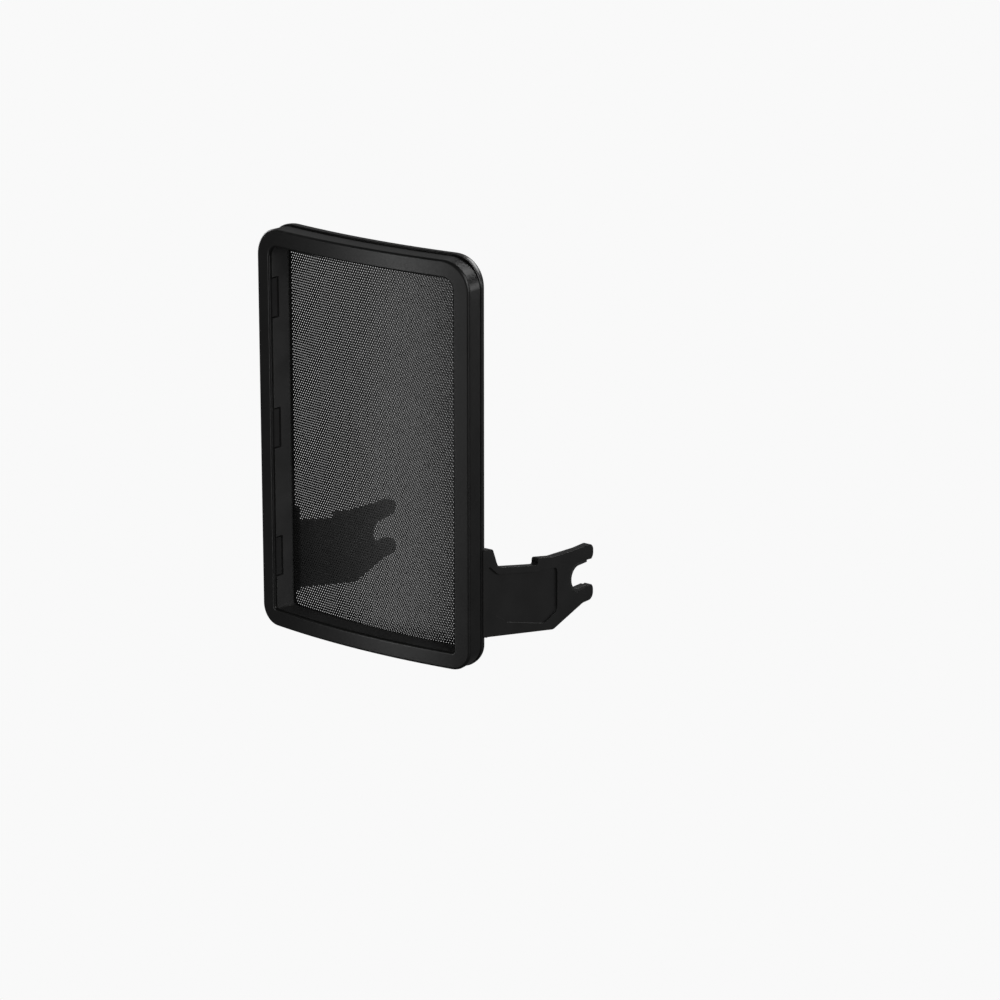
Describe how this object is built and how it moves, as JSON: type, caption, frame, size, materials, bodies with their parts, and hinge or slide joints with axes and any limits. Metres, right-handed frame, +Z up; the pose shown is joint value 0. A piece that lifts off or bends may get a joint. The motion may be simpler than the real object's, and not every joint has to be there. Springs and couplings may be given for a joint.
{
  "type": "microphone pop filter",
  "caption": "Curved rectangular pop filter: double steel mesh in a slim black frame, with side arms ending in open slots that hook onto a microphone mount's thumb screws.",
  "frame": {"origin": "on the common axis of the two thumb screws that the arms hook onto, midway between the arms", "axes": "+X to the right seen from the front and along the thumb screws' axis, +Y back towards the microphone's mount, +Z up along the frame's height"},
  "size_m": [0.071, 0.0599, 0.1132],
  "materials": {
    "frame_plastic": "satin black moulded plastic",
    "arm_plastic": "fine-textured black moulded plastic",
    "mesh_steel": "black coated perforated steel, satin",
    "spacer_plastic": "plain black plastic",
    "gasket_rubber": "soft black rubber",
    "soft_rubber": "soft black silicone rubber"
  },
  "bodies": {
    "root": {"front_bezel": "frame_plastic", "mesh_retainer": "frame_plastic", "rear_frame": "frame_plastic", "front_gasket": "gasket_rubber", "mesh_spacer": "spacer_plastic", "front_mesh": "mesh_steel", "rear_mesh": "mesh_steel", "left_arm": "arm_plastic", "right_arm": "arm_plastic", "left_pad": "soft_rubber", "right_pad": "soft_rubber", "left_slot_liner": "soft_rubber", "right_slot_liner": "soft_rubber"}
  },
  "joints": []
}
